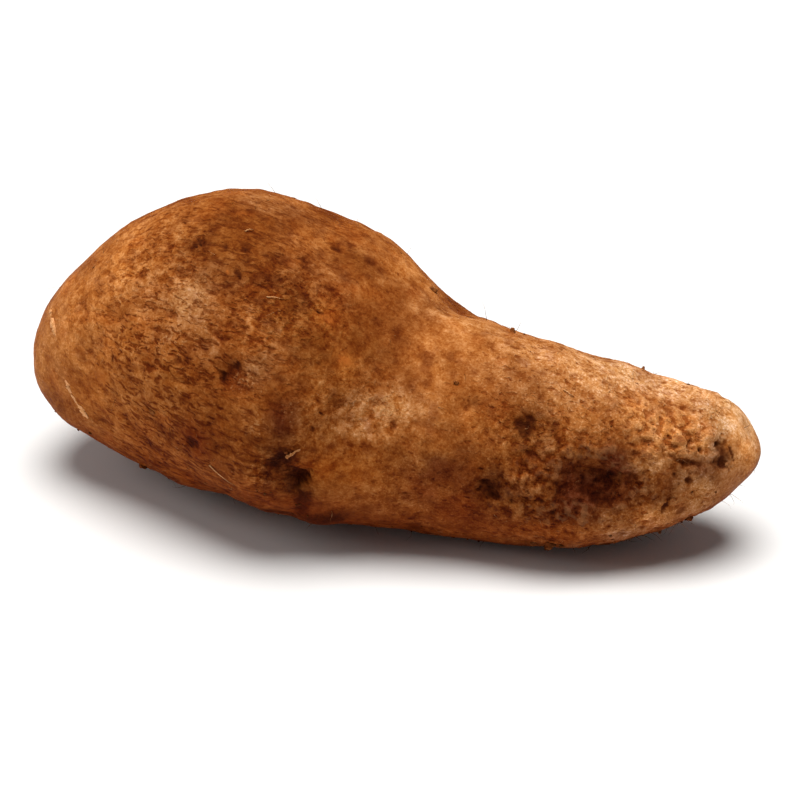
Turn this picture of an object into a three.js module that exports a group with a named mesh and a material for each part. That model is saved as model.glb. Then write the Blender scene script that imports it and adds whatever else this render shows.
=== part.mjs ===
// A yam tuber lying on its belly: one grown piece, with a swollen head and a narrower body that tapers to a
// blunt growing tip. Millimetres, +Z up. The head points to -X and the tip to +X. The origin is the middle of
// the bounding box's base, on the surface that the tuber lies on.

import * as THREE from "three";

const AROUND = 64; // facets around each ring of the skin
const RING_STEP = 4.6; // about how far apart the rings stand along the skin
const REST_DEPTH = 0.9; // how far the belly is pressed flat where it lies on the surface
const DEGREE = Math.PI / 180;

// The ribs, from the head's end to the tip. Each gives the section's reach to the near side (-Y), to the far
// side (+Y), down and up, at its place along the tuber. The first and the last are the poles, where the
// section is a point.
const ribs = [
  { along: -126, near: -7, far: -7, under: 39, over: 39 },
  { along: -122, near: -23, far: 13, under: 25, over: 61 },
  { along: -109, near: -33, far: 30, under: 15, over: 78 },
  { along: -88, near: -40, far: 46, under: 5, over: 96 },
  { along: -63, near: -47, far: 54, under: 0, over: 105 },
  { along: -38, near: -52.5, far: 56, under: 0, over: 103.5 },
  { along: -13, near: -53, far: 54, under: 0, over: 95 },
  { along: 12, near: -40.5, far: 47, under: 0, over: 81 },
  { along: 37, near: -32, far: 41, under: 0, over: 73 },
  { along: 60, near: -27, far: 41, under: 0, over: 69.5 },
  { along: 81, near: -21, far: 40, under: 2, over: 64 },
  { along: 100, near: -9, far: 38, under: 9, over: 59 },
  { along: 115, near: 2, far: 37, under: 18, over: 53.5 },
  { along: 123, near: 12, far: 31, under: 28, over: 46 },
  { along: 127, near: 22, far: 22, under: 38, over: 38 },
];

// Swellings (lift above 0) and hollows (lift below 0) of the grown shape. Around is in degrees: 0 on the far
// side, 90 on top, 180 on the near side and 270 underneath. Reach is how far out the lift fades to a third.
const forms = [
  { name: "fold under the neck", along: -9, around: 192, lift: -3.6, reach: 8 },
  { name: "foot of the fold", along: -6, around: 214, lift: -1.0, reach: 9 },
  { name: "neck valley, low", along: 0, around: 172, lift: -2.2, reach: 13 },
  { name: "neck valley, middle", along: 9, around: 148, lift: -1.8, reach: 14 },
  { name: "neck valley, high", along: 16, around: 118, lift: -1.6, reach: 14 },
  { name: "shoulder by the neck", along: -6, around: 68, lift: 2.6, reach: 17 },
  { name: "cheek by the fold", along: -32, around: 200, lift: 1.6, reach: 16 },
  { name: "scar on the crown", along: -17, around: 93, lift: -1.4, reach: 8 },
  { name: "scar on the cheek", along: -33, around: 160, lift: -1.4, reach: 8 },
  { name: "dimple in the body", along: 59, around: 142, lift: -1.6, reach: 7 },
  { name: "pit in the body", along: 51, around: 177, lift: -1.8, reach: 7 },
  { name: "hollow flank of the tail", along: 82, around: 168, lift: -3.8, reach: 12 },
  { name: "knot in the hollow", along: 89, around: 166, lift: 1.8, reach: 6 },
  { name: "brow over the hollow", along: 88, around: 132, lift: 1.8, reach: 10 },
  { name: "eye near the tip", along: 116, around: 146, lift: -2.4, reach: 6 },
  { name: "knob behind the tip", along: 109, around: 112, lift: 1.2, reach: 8 },
  { name: "dip behind the tip", along: 92, around: 84, lift: -1.4, reach: 10 },
  { name: "far cheek", along: -58, around: 10, lift: 2.4, reach: 24 },
  { name: "far groove", along: -20, around: 330, lift: -2.4, reach: 16 },
  { name: "far scar", along: -80, around: 42, lift: -1.8, reach: 9 },
  { name: "far swell of the body", along: 42, around: 12, lift: 2.2, reach: 18 },
  { name: "far pit of the body", along: 66, around: 350, lift: -2.2, reach: 8 },
];

// The skin also waves a little all over, as tubers grown in soil do. Turns is how many waves go around, and
// run is how far along the tuber a wave takes to turn by one radian.
const waves = [
  { height: 0.7, turns: 3, run: 24, start: 0.4 },
  { height: 0.5, turns: 5, run: -17, start: 1.9 },
];
const WAVE_FADE = 28; // below this section radius, towards the poles, the waves are lower

// The rib before the first, or past the last, mirrors its neighbour through the pole, so that both ends are round.
function ribAt(index) {
  const last = ribs.length - 1;
  if (index >= 0 && index <= last) return ribs[index];
  const pole = ribs[index < 0 ? 0 : last];
  const inner = ribs[index < 0 ? 1 : last - 1];
  return {
    along: inner.along,
    near: 2 * pole.near - inner.near,
    far: 2 * pole.far - inner.far,
    under: 2 * pole.under - inner.under,
    over: 2 * pole.over - inner.over,
  };
}

// One measure of the ribs, carried smoothly through them by a Catmull-Rom curve.
function through(measure, place) {
  const index = Math.min(Math.floor(place), ribs.length - 2);
  const t = place - index;
  const [a, b, c, d] = [-1, 0, 1, 2].map((step) => ribAt(index + step)[measure]);
  return b + 0.5 * t * (c - a + t * (2 * a - 5 * b + 4 * c - d + t * (3 * (b - c) + d - a)));
}

// The smooth section at a place along the ribs: its middle and its half width and half height.
function sectionAt(place) {
  const reaches = ["near", "far", "under", "over"];
  const [near, far, under, over] = reaches.map((measure) => through(measure, place));
  return {
    middle: new THREE.Vector3(through("along", place), (near + far) / 2, (under + over) / 2),
    halfWidth: (far - near) / 2,
    halfHeight: (over - under) / 2,
  };
}

function smoothPoint(section, angle) {
  const { middle, halfWidth, halfHeight } = section;
  const spoke = new THREE.Vector3(0, halfWidth * Math.cos(angle), halfHeight * Math.sin(angle));
  return spoke.add(middle);
}

// The place along the ribs of a distance along the tuber, found by halving.
function placeOf(along) {
  let [low, high] = [0, ribs.length - 1];
  while (high - low > 1e-4) {
    const middle = (low + high) / 2;
    if (through("along", middle) < along) low = middle;
    else high = middle;
  }
  return low;
}

const centred = forms.map((form) => ({
  ...form,
  centre: smoothPoint(sectionAt(placeOf(form.along)), form.around * DEGREE),
}));

// How far the skin stands off the smooth section at a point.
function liftAt(point, section, angle) {
  const fade = Math.min(1, Math.hypot(section.halfWidth, section.halfHeight) / WAVE_FADE) ** 2;
  const wave = waves.reduce(
    (sum, { height, turns, run, start }) => sum + height * Math.sin(turns * angle + point.x / run + start),
    0,
  );
  const form = centred.reduce(
    (sum, { lift, reach, centre }) => sum + lift * Math.exp(-point.distanceToSquared(centre) / reach ** 2),
    0,
  );
  return wave * fade + form;
}

function skinPoint(place, angle) {
  const section = sectionAt(place);
  const point = smoothPoint(section, angle);
  const outward = new THREE.Vector3(0, Math.cos(angle), Math.sin(angle));
  point.addScaledVector(outward, liftAt(point, section, angle));
  point.z = Math.max(point.z - REST_DEPTH, 0);
  return point;
}

// The places of the rings, about RING_STEP apart along the skin between one rib and the next.
function ringPlaces() {
  const places = [];
  for (let rib = 0; rib < ribs.length - 1; rib++) {
    const [here, next] = [ribs[rib], ribs[rib + 1]];
    const span = Math.hypot(next.along - here.along, next.over - here.over);
    const count = Math.max(2, Math.round(span / RING_STEP));
    for (let step = 0; step < count; step++) places.push(rib + step / count);
  }
  return places.slice(1);
}

// One closed skin: a point at each pole and rings of points between them.
function tuberGeometry() {
  const places = ringPlaces();
  const points = [skinPoint(0, 0)];
  for (const place of places) {
    for (let step = 0; step < AROUND; step++) {
      points.push(skinPoint(place, (step / AROUND) * 2 * Math.PI));
    }
  }
  points.push(skinPoint(ribs.length - 1, 0));

  const at = (ring, step) => 1 + ring * AROUND + (step % AROUND);
  const lastRing = places.length - 1;
  const faces = [];
  for (let step = 0; step < AROUND; step++) {
    faces.push(0, at(0, step + 1), at(0, step));
    for (let ring = 0; ring < lastRing; ring++) {
      faces.push(at(ring, step), at(ring, step + 1), at(ring + 1, step));
      faces.push(at(ring, step + 1), at(ring + 1, step + 1), at(ring + 1, step));
    }
    faces.push(at(lastRing, step), at(lastRing, step + 1), points.length - 1);
  }

  const geometry = new THREE.BufferGeometry().setFromPoints(points).setIndex(faces);
  geometry.computeBoundingBox();
  const { min, max } = geometry.boundingBox;
  geometry.translate(-(min.x + max.x) / 2, -(min.y + max.y) / 2, -min.z);
  geometry.computeVertexNormals();
  return geometry;
}

const skin = new THREE.MeshStandardMaterial({ color: 0x9a6234, roughness: 0.8, metalness: 0 });
const tuber = new THREE.Mesh(tuberGeometry(), skin);
tuber.name = "tuber";

const yam = new THREE.Group();
yam.add(tuber);

export default yam;
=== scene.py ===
# A whole yam tuber on a pale floor. The skin is one mesh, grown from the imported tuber's own form: its swells,
# folds, pits and crinkles are in the mesh, and its finer grain is in the material. The feeder roots, the
# broken root stubs, the loose scurf and the soil crumbs are pieces of their own. Metres, +Z up, head to -X,
# growing tip to +X.
import math
from itertools import chain

import bmesh
import bpy
import numpy as np
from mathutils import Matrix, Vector, noise


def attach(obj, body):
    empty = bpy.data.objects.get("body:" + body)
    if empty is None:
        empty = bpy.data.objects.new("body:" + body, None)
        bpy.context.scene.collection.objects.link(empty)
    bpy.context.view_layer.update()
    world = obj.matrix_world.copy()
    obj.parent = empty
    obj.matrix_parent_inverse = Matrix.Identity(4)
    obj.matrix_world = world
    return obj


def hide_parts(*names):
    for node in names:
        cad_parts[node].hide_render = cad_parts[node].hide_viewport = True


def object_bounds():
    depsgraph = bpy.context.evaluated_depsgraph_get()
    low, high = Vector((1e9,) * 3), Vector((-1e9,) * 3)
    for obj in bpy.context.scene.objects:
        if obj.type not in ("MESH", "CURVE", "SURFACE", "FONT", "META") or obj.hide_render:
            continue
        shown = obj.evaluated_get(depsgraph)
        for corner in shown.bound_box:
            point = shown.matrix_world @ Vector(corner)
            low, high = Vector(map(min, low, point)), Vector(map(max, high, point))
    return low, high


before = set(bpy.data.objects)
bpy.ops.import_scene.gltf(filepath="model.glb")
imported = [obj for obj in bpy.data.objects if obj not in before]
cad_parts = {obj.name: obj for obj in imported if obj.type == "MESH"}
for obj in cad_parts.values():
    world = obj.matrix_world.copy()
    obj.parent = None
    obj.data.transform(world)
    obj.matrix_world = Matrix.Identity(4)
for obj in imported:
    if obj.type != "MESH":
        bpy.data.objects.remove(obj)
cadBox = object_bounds()
mm = 0.001
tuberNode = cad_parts["tuber"]
print("frame loaded:", len(tuberNode.data.polygons), "faces in the packed tuber")


# studio: camera, soft lights, world and floor
studio = {
    "azimuth": 22,  # degrees round from the near side (-Y), towards the tip
    "elevation": 30,
    "distance": 0.75,
    "lens": 99,
    "sensorWidth": 36,
    "nearClip": 0.01,
    "aim": (0.006, 0.0, -0.0096),  # from the middle of the tuber's box
    "floorTone": (240, 240, 240),
    "floorRoughness": 0.9,
    "floorSpecular": 0.2,
    "floorSize": 14,
    "floorDrop": 0.1,  # millimetres below the tuber's lowest point
    "worldTone": (255, 255, 255),
    "worldStrength": 0.12,
}
softboxes = [
    {"name": "keySoftbox", "from": (0.0, 0.0, 2.3), "size": 1.7, "power": 72, "tone": (255, 253, 250)},
    {"name": "sideSoftbox", "from": (-1.6, -0.9, 1.3), "size": 1.2, "power": 8, "tone": (255, 254, 252)},
]


def linear(red, green, blue):
    # an sRGB colour of 0 to 255 as Blender's linear colour
    parts = [c / 255 for c in (red, green, blue)]
    return tuple(c / 12.92 if c <= 0.04045 else ((c + 0.055) / 1.055) ** 2.4 for c in parts) + (1.0,)


def newPiece(name, verts, faces):
    mesh = bpy.data.meshes.new(name)
    mesh.from_pydata(np.asarray(verts).tolist(), [], faces)
    piece = bpy.data.objects.new(name, mesh)
    bpy.context.scene.collection.objects.link(piece)
    return piece


def newMaterial(name, roughness, specular):
    material = bpy.data.materials.new(name)
    material.use_nodes = True
    shader = material.node_tree.nodes["Principled BSDF"]
    shader.inputs["Roughness"].default_value = roughness
    shader.inputs["Specular IOR Level"].default_value = specular
    return material, material.node_tree, shader


def aimAt(item, target):
    item.rotation_euler = (Vector(target) - item.location).to_track_quat("-Z", "Y").to_euler()


def addStudio():
    scene = bpy.context.scene
    scene.view_settings.view_transform = "Standard"
    middle = (Vector(cadBox[0]) + Vector(cadBox[1])) / 2
    target = middle + Vector(studio["aim"])
    azimuth, elevation = math.radians(studio["azimuth"]), math.radians(studio["elevation"])
    back = Vector((math.sin(azimuth) * math.cos(elevation), -math.cos(azimuth) * math.cos(elevation),
                   math.sin(elevation)))
    camera = bpy.data.objects.new("camera", bpy.data.cameras.new("camera"))
    camera.data.lens = studio["lens"]
    camera.data.sensor_width = studio["sensorWidth"]
    camera.data.clip_start = studio["nearClip"]
    camera.location = target + back * studio["distance"]
    aimAt(camera, target)
    scene.collection.objects.link(camera)
    scene.camera = camera

    for box in softboxes:
        light = bpy.data.objects.new(box["name"], bpy.data.lights.new(box["name"], "AREA"))
        light.data.shape = "DISK"
        light.data.size = box["size"]
        light.data.energy = box["power"]
        light.data.color = linear(*box["tone"])[:3]
        light.location = box["from"]
        aimAt(light, middle)
        scene.collection.objects.link(light)

    world = bpy.data.worlds.new("studio")
    world.use_nodes = True
    glow = world.node_tree.nodes["Background"].inputs
    glow["Color"].default_value = linear(*studio["worldTone"])
    glow["Strength"].default_value = studio["worldStrength"]
    scene.world = world

    half = studio["floorSize"] / 2
    corners = [(-half, -half, 0), (half, -half, 0), (half, half, 0), (-half, half, 0)]
    floor = newPiece("floor", corners, [(0, 1, 2, 3)])
    floor.location.z = cadBox[0][2] - studio["floorDrop"] * mm
    paint, _, shader = newMaterial("floorPaint", studio["floorRoughness"], studio["floorSpecular"])
    shader.inputs["Base Color"].default_value = linear(*studio["floorTone"])
    floor.data.materials.append(paint)


# the tuber's form, read from the frame
skin = {
    "columns": 300,  # points around each row
    "rows": 326,  # rows from the head's end to the tip, the two end points among them
    "bodyRows": 1.5,  # how much closer the rows lie along the crinkled body than on the head
    "seed": 7,
}


def between(a, b, c, d, t):
    # Catmull-Rom from b to c
    return b + 0.5 * t * (c - a + t * (2 * a - 5 * b + 4 * c - d + t * (3 * (b - c) + d - a)))


def packedRings():
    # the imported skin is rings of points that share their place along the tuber, with one point at each end
    points = np.empty(len(tuberNode.data.vertices) * 3)
    tuberNode.data.vertices.foreach_get("co", points)
    points = np.unique(points.reshape(-1, 3).round(7), axis=0)
    places = points[:, 0].round(6)
    rings = [points[places == place] for place in np.unique(places)]
    spokes = max(len(ring) for ring in rings)
    ordered = []
    for ring in rings:
        if len(ring) == 1:
            ordered.append(np.repeat(ring, spokes, axis=0))
            continue
        middle = (ring.min(axis=0) + ring.max(axis=0)) / 2
        angle = np.arctan2(ring[:, 2] - middle[2], ring[:, 1] - middle[1])
        order = np.argsort(angle)
        ordered.append(np.roll(ring[order], -np.abs(angle[order]).argmin(), axis=0))
    return np.array(ordered)


def fineGrid(rings):
    # rows along the skin, closest on the body, then more points around each; past an end the skin runs on
    # down the opposite side, so that both ends stay round
    before, after = (np.roll(rings[row], rings.shape[1] // 2, axis=0)[None] for row in (1, -2))
    padded = np.concatenate([before, rings, after])
    steps = np.linalg.norm(np.diff(rings, axis=0), axis=2).mean(axis=1)
    steps = steps * np.where(rings[1:, 0, 0] > 0, skin["bodyRows"], 1)
    reach = np.concatenate([[0], np.cumsum(steps)])
    places = np.interp(np.linspace(0, reach[-1], skin["rows"]), reach, np.arange(len(rings)))
    index = np.minimum(places.astype(int), len(rings) - 2)
    rows = between(*(padded[index + step] for step in range(4)), (places - index)[:, None, None])
    spokes = rings.shape[1]
    places = np.arange(skin["columns"]) * spokes / skin["columns"]
    index = places.astype(int)
    around = [rows[:, (index + step) % spokes] for step in (-1, 0, 1, 2)]
    return between(*around, (places - index)[None, :, None])


def unit(vectors):
    return vectors / np.maximum(np.linalg.norm(vectors, axis=-1, keepdims=True), 1e-12)


def nextAround(values):
    return np.roll(values, -1, axis=1)


grid = fineGrid(packedRings())
alongSkin = unit(np.gradient(grid, axis=0))
aroundSkin = unit(nextAround(grid) - np.roll(grid, 1, axis=1))
outward = unit(np.cross(aroundSkin, alongSkin))
outward[0], outward[-1] = (-1, 0, 0), (1, 0, 0)
alongMm = grid[..., 0] / mm  # each point's place along the tuber, in millimetres
heightMm = grid[..., 2] / mm
cellArea = np.linalg.norm(np.gradient(grid, axis=0), axis=2) * np.linalg.norm(nextAround(grid) - grid, axis=2)
rowSteps = np.linalg.norm(np.diff(grid, axis=0), axis=2).mean(axis=1) / mm
rowStep = np.percentile(rowSteps, 5)  # where the rows are closest
print("form read:", grid.shape[0], "rows of", grid.shape[1], "points,", round(rowStep, 2), "mm apart")


def smooth(value, low, high):
    t = np.clip((value - low) / (high - low), 0, 1)
    return t * t * (3 - 2 * t)


def facingDown(low, high):
    # 0 to 1 as the skin turns from facing up to facing down: -1 is straight up, 1 is straight down
    return smooth(-outward[..., 2], low, high)


def lumps(size, seed, stretch=1.0):
    # smooth noise over the skin, about -1 to 1, with lumps of that size in millimetres, drawn out along it by
    # stretch; each seed looks at another part of the noise
    scale = np.array([1 / (size * stretch), 1 / size, 1 / size]) / mm
    points = grid.reshape(-1, 3) * scale + seed * 17.3
    return np.array([noise.noise(point) for point in points]).reshape(grid.shape[:2]) * 1.6


def gridPlace(x, around):
    # the row and column of a place: x in millimetres along the tuber, around in degrees, 0 on the far side,
    # 90 on top, 180 on the near side and 270 underneath
    column = round(around / 360 * skin["columns"]) % skin["columns"]
    return int(np.abs(alongMm[:, column] - x).argmin()), column


raggedNoise = lumps(2.2, seed=3) * 0.6 + lumps(1.1, seed=4) * 0.4
rng = np.random.default_rng(skin["seed"])


def spotMask(row, column, long, wide, turn, ragged, soft):
    # 1 inside an oval spot on the skin and 0 outside; returns the rows and columns that it covers, too
    reach = max(long, wide) * (1 + ragged) * 1.3  # in millimetres, well past the ragged edge
    span = int(reach / rowStep) + 2
    rows = np.arange(max(row - span, 0), min(row + span + 1, skin["rows"]))
    width = np.linalg.norm(grid[row, (column + 1) % skin["columns"]] - grid[row, column]) / mm
    sideSpan = min(int(reach / max(width, 0.05)) + 2, skin["columns"] // 2 - 1)
    columns = np.arange(column - sideSpan, column + sideSpan + 1) % skin["columns"]
    patch = np.ix_(rows, columns)
    away = (grid[patch] - grid[row, column]) / mm
    cosine, sine = math.cos(math.radians(turn)), math.sin(math.radians(turn))
    first = away @ (cosine * alongSkin[row, column] + sine * aroundSkin[row, column])
    second = away @ (cosine * aroundSkin[row, column] - sine * alongSkin[row, column])
    distance = np.sqrt((first / long) ** 2 + (second / wide) ** 2)
    distance = distance + ragged * raggedNoise[patch] * np.minimum(distance, 1)
    return patch, smooth(-distance, -1, -1 + soft)


def scatter(count, density):
    # seeded random places on the skin, as rows and columns, more of them where density is higher
    weight = (cellArea * density).ravel()
    chosen = rng.choice(weight.size, size=count, replace=False, p=weight / weight.sum())
    return [divmod(int(place), skin["columns"]) for place in chosen]


# zones of the skin: where along the tuber each one fades in or out, in millimetres
fades = {
    "neck": (-5, 35),
    "body": (20, 60),
    "cap": (112, 121),  # the smooth growing tip
    "crinkle": (34, 92),
    "crinkleEnd": (110, 120),
    "freckle": (-5, 25),
    "bareEnd": (-121, -88),  # the smoother end of the head
    "hatch": (-114, -76),
    "hatchEnd": (-26, 2),
}


def fade(name):
    return smooth(alongMm, *fades[name])


headness = 1 - fade("neck")
tailness = fade("body")
cap = smooth(alongMm + 0.003 * (heightMm - 40) ** 2, *fades["cap"])
crinkle = fade("crinkle") * (1 - fade("crinkleEnd"))
freckle = fade("freckle") * np.maximum(tailness, 0.9 * facingDown(-0.55, 0.1)) * (1 - cap)
bareEnd = 1 - fade("bareEnd")
nearSide = smooth(-outward[..., 1], -0.3, 0.5)
cheek = np.exp(-((alongMm + 62) / 24) ** 2)  # the wrinkled sides of the head
cheek = cheek * smooth(np.abs(outward[..., 1]), 0.2, 0.7) * facingDown(-0.85, -0.4)
hatch = (1 - fade("hatchEnd")) * (0.65 + 0.25 * nearSide) * (0.2 + 0.8 * fade("hatch")) + 0.55 * cheek

# relief: everything on the skin that has a height; endCalm is how much of it the bare end lacks
relief = {
    "swell": {"size": 24, "height": 0.5, "seed": 1, "endCalm": 0.0},
    "lump": {"size": 9, "height": 0.34, "seed": 2, "endCalm": 0.5},
    "knobble": {"size": 4.2, "height": 0.16, "seed": 5, "endCalm": 0.7},
    "ripple": {"size": 2.6, "stretch": 3.0, "height": 0.30},  # wavy ridges along the head
    "crinkle": {"size": 3.8, "fine": 2.1, "height": 0.28, "scarCalm": 0.65},  # small uneven lumps by the tip
    "pit": {"count": 480, "radius": (0.7, 1.3), "depth": (0.12, 0.34)},
    "wart": {"count": 80, "radius": (1.5, 2.6), "depth": (-0.3, -0.12)},
}

# Where the skin is roughest. Each patch has its x and around, its half length and half width, the size and
# height of its crumbs, all in millimetres, and how uneven its colour is.
roughPatches = {
    "knuckles": (100, 130, 19, 14, 2.9, 1.25, 0.3),
    "flank": (66, 178, 36, 21, 2.4, 0.6, 1.7),
    "flank, high": (66, 148, 30, 13, 2.4, 0.4, 1.4),
    "flank hollow": (88, 172, 20, 13, 2.4, 0.5, 1.7),
    "head, high": (-68, 122, 30, 24, 2.6, 0.12, 0.9),
    "crown": (-20, 122, 32, 30, 2.6, 0.1, 1.65),
    "neck": (2, 158, 34, 27, 2.6, 0.14, 1.15),
    "fold": (-16, 188, 20, 18, 2.6, 0.3, 1.6),
    "cheek": (-56, 166, 30, 26, 2.6, 0.1, 0.4),
    "far flank": (78, 350, 30, 20, 2.4, 0.5, 1.0),
    "far head": (-58, 24, 46, 40, 2.6, 0.12, 0.9),
    "far neck": (20, 14, 38, 32, 2.6, 0.15, 0.9),
    "belly": (-40, 268, 46, 34, 2.6, 0.12, 0.8),
}

# Named marks of this tuber. Each has its x and around, its half length and half width in millimetres, and
# what it does: turn is in degrees from the tuber's length, lift is in millimetres, scar, rust and dust are
# how strongly each stain shows, from 0 to 1, and pits and beads are how many small pits or raised lumps are
# scattered over it.
marks = {
    # The fold below the neck: the scar stains of deep fold, fold shadow, fold throat and fold foot are painted
    # shade in the crease.
    "deep fold": (-9.5, 193, 3.8, 4.6, {"lift": -2.8, "scar": 1.0}),
    "fold shadow": (-15, 185, 10, 8.5, {"turn": -35, "lift": -1.1, "scar": 0.7}),
    "fold throat": (-11.5, 194, 5, 10, {"turn": -15, "lift": -0.6, "scar": 0.95}),
    "fold foot": (-11, 207, 5.5, 12, {"turn": 10, "lift": -0.8, "scar": 0.55}),
    "fold lip": (-2, 190, 5, 9, {"lift": 0.8}),
    # painted shade along the underside, drawn with the scar stain
    "shaded underside": (-5, 219, 17, 8, {"scar": 0.85}),
    "slanted scar, upper": (-32, 152, 2.6, 2.2, {"lift": -1.0, "scar": 0.9}),
    "slanted scar": (-34, 155, 5.2, 2.4, {"turn": 55, "lift": -0.6, "scar": 0.5}),
    "slanted scar, lower": (-36, 158, 3.4, 2.3, {"turn": 55, "lift": -1.2, "scar": 1.0}),
    "cheek bruise": (-53, 160, 3.6, 3.0, {"lift": -0.5, "scar": 0.6}),
    "cheek bruise, low": (-50, 165, 4.2, 2.8, {"lift": -0.4, "scar": 0.45}),
    "red bruise": (-47, 188, 6.0, 4.5, {"lift": -0.8, "scar": 0.6, "rust": 0.2}),
    "crown scar": (-18, 87, 3.2, 2.8, {"lift": -0.9, "scar": 0.6}),
    "crown scar, far": (-15, 80, 2.4, 2.2, {"lift": -0.5, "scar": 0.35}),
    "crown bruise": (-6, 84, 8, 5, {"turn": 20, "lift": -0.5, "scar": 0.35}),
    "small scar": (-48, 113, 1.9, 1.9, {"lift": -0.6, "scar": 0.7}),
    "small scar, paired": (-41, 111, 2.4, 2.0, {"lift": -0.6, "scar": 0.7}),
    "comma scar": (-40, 121, 4.2, 1.5, {"turn": 35, "lift": -0.7, "scar": 0.75}),
    "red speck": (-44, 122, 1.5, 1.2, {"lift": 0.1, "rust": 0.9}),
    "speckled patch": (-58, 114, 4, 3, {"lift": -0.3, "scar": 0.3, "pits": 6}),
    "notch": (-81, 165, 1.5, 2.6, {"lift": -0.5, "scar": 0.7}),
    "root pit": (-12, 120, 2.0, 1.5, {"lift": -0.9, "scar": 0.9}),
    "neck pit": (-3, 159, 1.5, 1.4, {"lift": -0.7, "scar": 0.8}),
    "neck pit, lower": (-5, 165, 1.4, 1.6, {"lift": -0.6, "scar": 0.7}),
    "ringed pit": (18, 156, 2.1, 2.1, {"lift": -0.7, "scar": 0.6, "rust": 0.3}),
    "dark patch": (57.5, 142, 6.2, 6.0, {"turn": 20, "lift": -0.9, "scar": 0.9}),
    "dark patch, crack": (59, 137, 4.0, 1.4, {"turn": 25, "lift": -0.5, "scar": 1.0}),
    "dark patch, forward": (66, 139, 5.0, 4.4, {"lift": -0.4, "scar": 0.5}),
    "pit cluster": (49, 181, 6.6, 6.4, {"lift": -0.7, "scar": 0.5, "pits": 12}),
    "pit cluster, heart": (50, 185, 2.6, 2.4, {"lift": -1.0, "scar": 1.0}),
    "flank hollow": (82, 170, 20, 13, {"lift": -2.6, "scar": 0.45}),
    "flank hollow, head": (70, 174, 7, 9, {"lift": -0.5, "scar": 0.45}),
    "flank hollow, heart": (87, 166, 11, 6.5, {"lift": -1.4, "scar": 0.6}),
    "flank hollow, foot": (84, 180, 11, 7, {"lift": -0.4, "scar": 0.45}),
    "flank hollow, fore": (94, 164, 6, 4, {"lift": -0.7, "scar": 0.4}),
    "flank knot": (89, 169, 4.0, 3.6, {"lift": 1.0}),
    "flank knot eye": (89, 168, 1.6, 1.4, {"lift": -0.8, "scar": 0.7}),
    "flank brow": (80, 146, 14, 4.5, {"lift": 1.1}),
    "flank brow, fore": (96, 146, 5, 3.6, {"lift": 1.0}),
    "flank pit": (66, 182, 1.8, 1.6, {"lift": -0.8, "scar": 0.9}),
    "flank pit, low": (70, 188, 2.0, 1.8, {"lift": -0.9, "scar": 1.0}),
    "flank pit, rear": (62, 178, 1.4, 1.4, {"lift": -0.6, "scar": 0.8}),
    "fold to the tip": (108, 156, 7.5, 2.4, {"lift": -1.3, "scar": 0.5}),
    "tip knuckles": (105, 143, 9, 5, {"lift": 0.8, "pits": 6, "beads": 6}),
    "tip pit": (108.5, 173, 2.4, 2.2, {"lift": -1.0, "scar": 1.0}),
    "tip pit, rear": (104.5, 166, 1.6, 1.6, {"lift": -0.7, "scar": 0.8}),
    "slit": (102.7, 195, 5.0, 1.5, {"turn": -62, "lift": -0.9, "scar": 1.0}),
    "slit blush": (106.5, 206, 3.2, 2.4, {"lift": -0.3, "scar": 0.45}),
    "tip eye": (117.4, 147, 6.4, 4.8, {"turn": 75, "lift": -1.5, "scar": 0.7}),
    "tip eye, upper edge": (114.8, 136, 2.4, 1.8, {"lift": -1.0, "scar": 0.9}),
    "tip eye, fore edge": (119.6, 147, 4.6, 1.1, {"turn": 65, "lift": -0.5, "scar": 0.9}),
    "tip eye, lower edge": (117, 162, 4.4, 3.4, {"lift": -1.3, "scar": 1.0}),
    "tip eye, heart": (118, 147, 2.8, 1.9, {"turn": 70, "lift": 0.7, "dust": 0.5}),
    "tip eye brow": (112, 130, 3.4, 3, {"lift": 0.9}),
    "rusty spots": (79, 100, 4.5, 2.8, {"lift": -0.4, "scar": 0.45, "rust": 0.25}),
    "brown smear": (40, 135, 7, 3.5, {"turn": -10, "lift": -0.2, "scar": 0.4}),
    "orange graze": (-93, 207, 5, 4, {"lift": -0.1, "rust": 0.35}),
    "orange graze, high": (-86, 175, 6.5, 5, {"rust": 0.65}),
    "orange fleck, neck": (0.5, 134, 5.2, 2.8, {"lift": 0.1, "rust": 0.8}),
    "orange fleck, crown": (-25, 104, 5, 3.4, {"lift": -0.1, "rust": 0.45}),
    "orange fleck, top": (-49, 95, 4, 2.6, {"lift": -0.1, "rust": 0.5}),
    "orange fleck, pit": (-8.5, 121, 3.8, 2.2, {"lift": -0.1, "rust": 0.9}),
    "dusty cheek": (-55, 137, 18, 15, {"dust": 0.6}),
    "dusty cheek, low": (-57, 153, 16, 10, {"dust": 0.45}),
    "dusty spot": (-26, 150, 8, 6, {"dust": 0.35}),
    "dusty fold": (14, 149, 12, 7, {"turn": 20, "dust": 0.7}),
    "dusty neck": (-22, 172, 7, 8, {"dust": 0.4}),
    "dusty band": (-28, 156, 12, 9, {"turn": 30, "dust": 0.45}),
    "dusty valley": (-12, 160, 9, 7, {"turn": 30, "dust": 0.3}),
    "far scar": (-62, 28, 4.5, 2.2, {"turn": 30, "lift": -1.0, "scar": 0.9}),
    "far bruise": (-24, 352, 6, 5, {"lift": -0.6, "scar": 0.6, "pits": 5}),
    "far pit": (14, 12, 2.2, 2.0, {"lift": -0.9, "scar": 0.9}),
    "far patch": (48, 24, 4.6, 3.6, {"lift": -0.9, "scar": 0.85}),
    "far hollow": (84, 345, 9, 5, {"lift": -1.2, "scar": 0.7, "pits": 4}),
    "far slit": (102, 20, 3.6, 1.2, {"turn": 40, "lift": -0.7, "scar": 0.9}),
    "far dust": (-70, 55, 14, 10, {"dust": 0.7}),
    "belly scar": (-70, 262, 5, 3, {"turn": -20, "lift": -0.8, "scar": 0.8}),
    "belly pits": (30, 268, 7, 5, {"lift": -0.3, "scar": 0.4, "pits": 8}),
    # painted shade along the jaw's lower edge, drawn with the scar stain
    "shaded jaw edge": (-23, 221, 15, 5, {"scar": 0.7}),
}

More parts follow.
